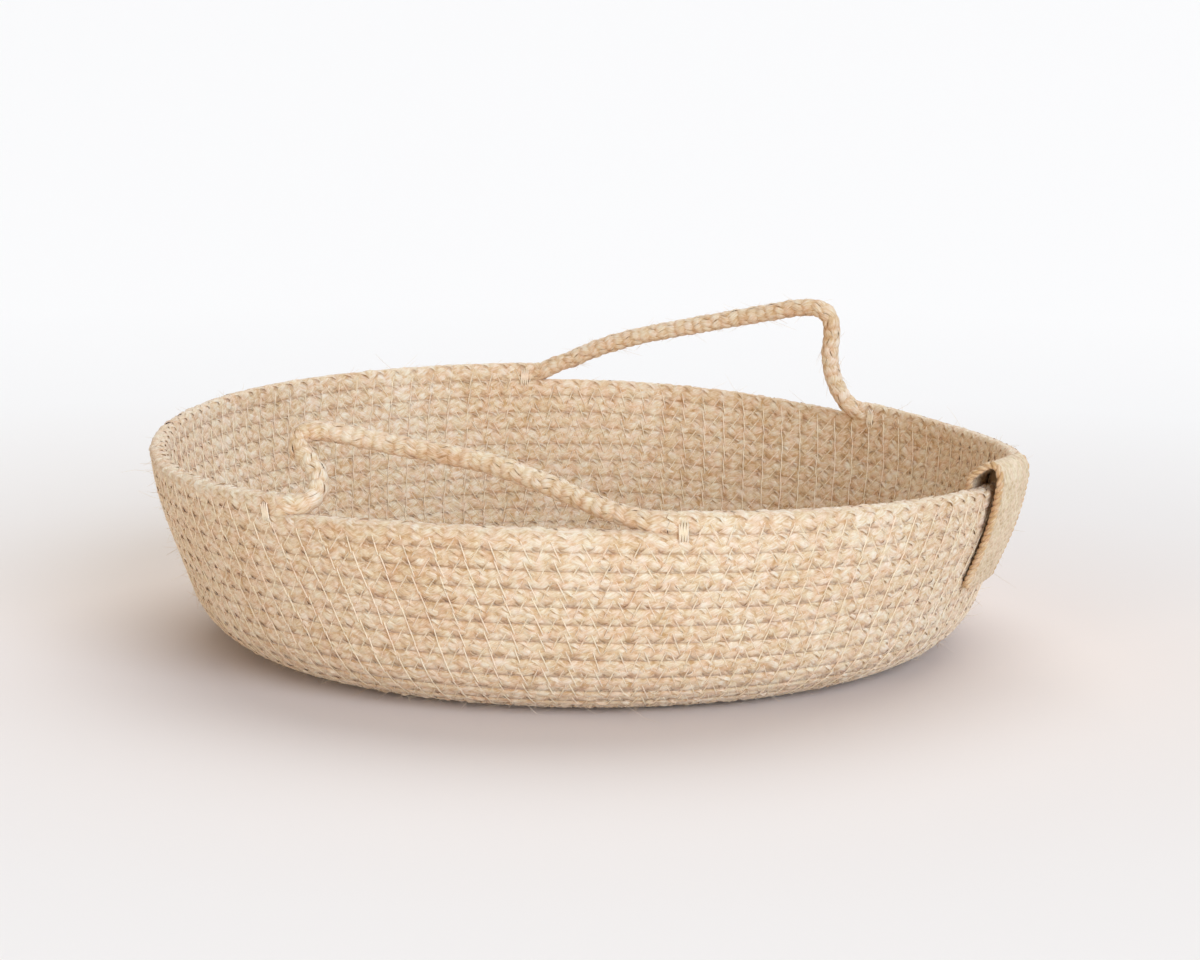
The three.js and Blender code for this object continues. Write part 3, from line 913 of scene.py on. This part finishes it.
def on_tape(across, along, proud=0.0):
    """Points of the folded tape, at places across and along it and a height above its middle."""
    up_by, out_by = tape_path(along)
    ahead, out_ahead = tape_path(along + SLOPE_STEP)
    behind, out_behind = tape_path(along - SLOPE_STEP)
    run = np.hypot(ahead - behind, out_ahead - out_behind)
    up_by = up_by - proud * (out_ahead - out_behind) / run
    out_by = out_by + proud * (ahead - behind) / run
    return shell(TURNS + np.asarray(across) * TURNS_PER_METRE, up_by, out_by)[0]


print(f"the tape is cut {TAPE_WIDTH:.3f} by {TAPE_LENGTH:.3f} m")

# %% [markdown]
# ## Folded tape
#
# A flat grid is bent to the fold's path, its points are moved up and down as a plain weave
# moves them, and Solidify gives the cloth its thickness. Its UV map keeps the flat tape's own
# measures, so the fibre's streaks follow the weave. Its face stays bare.

# %% Folded tape
TAPE_THICKNESS = 1.9 * MM
WARP_PITCH, WEFT_PITCH = 1.9 * MM, 1.5 * MM
WEAVE_HEIGHT = 0.26 * MM
SQUARES_ACROSS, SQUARES_ALONG = 54, 190
TAPE_STOPS = [
    (0.15, (0.36, 0.21, 0.09)), (0.4, (0.60, 0.42, 0.235)),
    (0.6, (0.72, 0.55, 0.35)), (0.85, (0.84, 0.71, 0.52)),
]
tape = fibre_material("woven_jute_tape", TAPE_STOPS, streaks=(700.0, 700.0, 1.0), bump_height=0.12 * MM)
cloth = bmesh.new()
bmesh.ops.create_grid(
    cloth, x_segments=SQUARES_ACROSS, y_segments=SQUARES_ALONG, size=0.5, calc_uvs=True)
flat = np.array([corner.co for corner in cloth.verts])
across, along = flat[:, 0] * TAPE_WIDTH, (flat[:, 1] + 0.5) * TAPE_LENGTH
weave = WEAVE_HEIGHT * np.sin(pi * across / WARP_PITCH) * np.sin(pi * along / WEFT_PITCH)
for corner, place in zip(cloth.verts, on_tape(across, along, weave)):
    corner.co = place
layer = cloth.loops.layers.uv.verify()
for face in cloth.faces:
    face.smooth = True
    for loop in face.loops:
        number = loop.vert.index
        loop[layer].uv = (across[number], along[number])
mesh = bpy.data.meshes.new("tag_tape")
cloth.to_mesh(mesh)
cloth.free()
mesh.uv_layers[0].name = "strand"
mesh.attributes.new("tone", "FLOAT", "POINT")
mesh.materials.append(tape)
tag = bpy.data.objects.new("tag_tape", mesh)
scene.collection.objects.link(tag)
thickness = tag.modifiers.new("thickness", "SOLIDIFY")
thickness.thickness = TAPE_THICKNESS
thickness.offset = 0
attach(tag, "basket")
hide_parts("tag")
print(tag.name, triangles(tag))

# %% [markdown]
# ## The tape's edges
#
# A woven tape doesn't fray at its long edges, because the weft turns back there round two thick twisted
# plies. They are two tubes on each side that wind round each other along the same path.

# %% Tape edges
EDGE_TRIM = 0.5 * MM
EDGE_POINTS, EDGE_SIDES = 240, 8
EDGE_LAY = 4.2 * MM
EDGE_INSET, EDGE_ORBIT = 0.3 * MM, 0.6 * MM
EDGE_HALF_WIDTH, EDGE_HALF_HEIGHT = 0.8 * MM, 0.75 * MM
# The edge plies are toned darker: painted shade on the tape's edges.
EDGE_PAINTED_SHADE = -0.16
PROUD_STEP = 2 * MM
at = np.linspace(EDGE_TRIM, TAPE_LENGTH - EDGE_TRIM, EDGE_POINTS)
edges = []
for side in (-1, 1):
    border = np.full(EDGE_POINTS, side * TAPE_WIDTH / 2)
    outward = unit(on_tape(border, at, PROUD_STEP) - on_tape(border, at))
    for ply in (0, pi):
        turn = 2 * pi * at / EDGE_LAY + ply
        across = side * (TAPE_WIDTH / 2 - EDGE_INSET) + EDGE_ORBIT * np.cos(turn)
        points = on_tape(across, at, EDGE_ORBIT * np.sin(turn))
        rings = ovals(points[None], outward[None], EDGE_HALF_WIDTH, EDGE_HALF_HEIGHT,
                      round_section(EDGE_SIDES))
        edges.append((rings, at[None], EDGE_PAINTED_SHADE))
selvedge = tube_object("tag_edges", edges, jute)
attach(selvedge, "basket")
print(selvedge.name, triangles(selvedge))

# %% [markdown]
# ## Loose fibres
#
# Jute is hairy. Thousands of short ends stand off the strands and catch the light along
# every outline. Blender's hair could grow them, but hair isn't part of a mesh. So each is a
# very thin curved tube of three sides that starts in a strand and leans along it.

# %% Loose fibres
FIBRE_RADIUS, FIBRE_SIDES = 0.055 * MM, 3
FIBRE_SHARES = np.linspace(0, 1, 4)
FIBRE_TAPER = np.array([1.0, 0.95, 0.8, 0.35])
FIBRE_LENGTH_SHAPE, FIBRE_LENGTH_SCALE = 2.2, 1.5 * MM
FIBRE_LIFT_LEAST, FIBRE_LIFT_MOST = 0.15, 0.75
FIBRE_CURL = 0.35
FIBRE_ROOT, FIBRE_STANDS_OFF = 2.4 * MM, 0.5 * MM
FIBRE_TONE, FIBRE_TONE_SPREAD = 0.12, 0.1


def loose_fibres(line, start, end, count):
    """Rings of short curved fibres that stand off a stretch of cord."""
    at = rng.uniform(start, end, count)
    centre, up, out = follow(line, at)
    angle = rng.uniform(0, 2 * pi, count)[:, None]
    outward = out * np.cos(angle) + up * np.sin(angle)
    along = unit(np.cross(up, out)) * rng.choice([-1, 1], count)[:, None]
    sideways = np.cross(along, outward)
    length = rng.gamma(FIBRE_LENGTH_SHAPE, FIBRE_LENGTH_SCALE, count)[:, None]
    lift = rng.uniform(FIBRE_LIFT_LEAST, FIBRE_LIFT_MOST, count)[:, None]
    curl = rng.normal(0, FIBRE_CURL, count)[:, None]
    share = FIBRE_SHARES[None, :, None]
    root = centre + outward * FIBRE_ROOT
    reach = length[:, None] * share
    rise = lift[:, None] * reach + FIBRE_STANDS_OFF * share
    bend = sideways[:, None] * curl[:, None] * reach * share
    points = root[:, None] + along[:, None] * reach + outward[:, None] * rise + bend
    points[..., 2] = np.maximum(points[..., 2], FIBRE_RADIUS)
    taper = FIBRE_RADIUS * FIBRE_TAPER
    faces_out = np.broadcast_to(outward[:, None], points.shape)
    rings = ovals(points, faces_out, taper, taper, round_section(FIBRE_SIDES))
    tone = rng.normal(FIBRE_TONE, FIBRE_TONE_SPREAD, (count, 1))
    return rings, np.broadcast_to(FIBRE_SHARES * MM, (count, len(FIBRE_SHARES))), tone


fibres = [
    ("wall_fibres", coil, wall_cuts[0], wall_cuts[-1], 8200, "basket"),
    ("rim_left_fibres", top, front_end, rear_start, 420, "basket"),
    ("rim_end_fibres", top, rear_end, cord_end - TAPE_WIDTH / 2, 250, "basket"),
    ("front_handle_fibres", top, front_start + FOOT_LENGTH, front_end - FOOT_LENGTH, 330, "front_handle"),
    ("rear_handle_fibres", top, rear_start + FOOT_LENGTH, rear_end - FOOT_LENGTH, 330, "rear_handle"),
]
for name, line, start, end, count, body in fibres:
    piece = tube_object(name, [loose_fibres(line, start, end, count)], jute)
    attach(piece, body)
    print(piece.name, triangles(piece))

# %% [markdown]
# ## Floor
#
# The photograph has a pale warm tabletop that runs back into a white, slightly cool background, with no
# horizon. A large disc stands for both. Its colour is a ramp on the distance from the basket, on Object
# coordinates, with a faint mottle so that it isn't one flat value. The ramp is partly the tabletop's own
# colour and partly painted shade: it darkens and warms the floor near the basket and pales it further
# off.

# %% Floor
FLOOR_RADIUS, FLOOR_CORNERS = 60, 96
MOTTLE_SCALE, MOTTLE_WEIGHT = 3.0, 0.03
# Darker, warmer stops near the basket are painted shade; the pale far stops are the background.
FLOOR_SHADE_STOPS = [
    (0.19, (0.81, 0.725, 0.665)), (0.33, (0.855, 0.795, 0.745)),
    (0.6, (0.915, 0.873, 0.83)), (1.0, (0.95, 0.907, 0.862)),
]
disc = bmesh.new()
bmesh.ops.create_circle(disc, cap_ends=True, segments=FLOOR_CORNERS, radius=FLOOR_RADIUS)
mesh = bpy.data.meshes.new("floor")
disc.to_mesh(mesh)
disc.free()
tabletop = bpy.data.objects.new("floor", mesh)
scene.collection.objects.link(tabletop)
paper, tree, shader = new_material("pale_tabletop", roughness=0.8, specular=0.15, sheen=0.0)
place = linked(tree, "ShaderNodeTexCoord", (-900, 0))
distance = linked(tree, "ShaderNodeVectorMath", (-700, 0), {"operation": "LENGTH"},
                  links={0: place.outputs["Object"]})
mottle = linked(tree, "ShaderNodeTexNoise", (-700, -250), inputs={"Scale": MOTTLE_SCALE},
                links={"Vector": place.outputs["Object"]})
mottled = linked(tree, "ShaderNodeMath", (-500, 0), {"operation": "MULTIPLY_ADD"},
                 {1: MOTTLE_WEIGHT}, {0: mottle.outputs["Fac"], 2: distance.outputs["Value"]})
pale = ramp(tree, (-300, 0), mottled.outputs["Value"], FLOOR_SHADE_STOPS)
tree.links.new(pale.outputs["Color"], shader.inputs["Base Color"])
mesh.materials.append(paper)
print("floor", round(tabletop.dimensions.x), "m across")

# %% [markdown]
# ## Light
#
# The light comes low from the front right: the right of the wall and the left of the inside
# are bright, and the inside of the right wall is a deep gold, because only light that has
# already met jute reaches it. A second lamp high behind the basket lights the far floor and
# throws a faint shade forwards, and a weak low one lifts the left of the wall. All three are
# sun lamps with wide discs, which are soft and even over the whole floor. The first is cool
# and the second hardly tinted. The weak one, and the world that fills in from all round, are
# slightly warm.

# %% Light
WORLD_COLOUR, WORLD_STRENGTH = (1.0, 0.98, 0.95, 1), 0.33
world = bpy.data.worlds.new("studio")
world.use_nodes = True
world.node_tree.nodes["Background"].inputs["Color"].default_value = WORLD_COLOUR
world.node_tree.nodes["Background"].inputs["Strength"].default_value = WORLD_STRENGTH
scene.world = world


def toward(azimuth, elevation):
    """A direction from the basket, by degrees round from the front and up from the floor."""
    a, e = radians(azimuth), radians(elevation)
    return Vector((sin(a) * cos(e), -cos(a) * cos(e), sin(e)))


def sun(name, direction, spread, strength, colour):
    light = bpy.data.lights.new(name, "SUN")
    light.energy = strength
    light.color = colour
    light.angle = radians(spread)
    made = bpy.data.objects.new(name, light)
    made.location = direction
    made.rotation_euler = direction.to_track_quat("Z", "Y").to_euler()
    scene.collection.objects.link(made)


sun("key", toward(50, 20), spread=45, strength=2.95, colour=(0.63, 0.78, 1.0))
sun("rear", toward(180, 60), spread=60, strength=1.75, colour=(0.96, 0.98, 1.0))
sun("fill", toward(-20, 8), spread=20, strength=0.85, colour=(1.0, 0.95, 0.9))
scene.view_settings.view_transform = "Standard"
print("world, key, rear and fill")
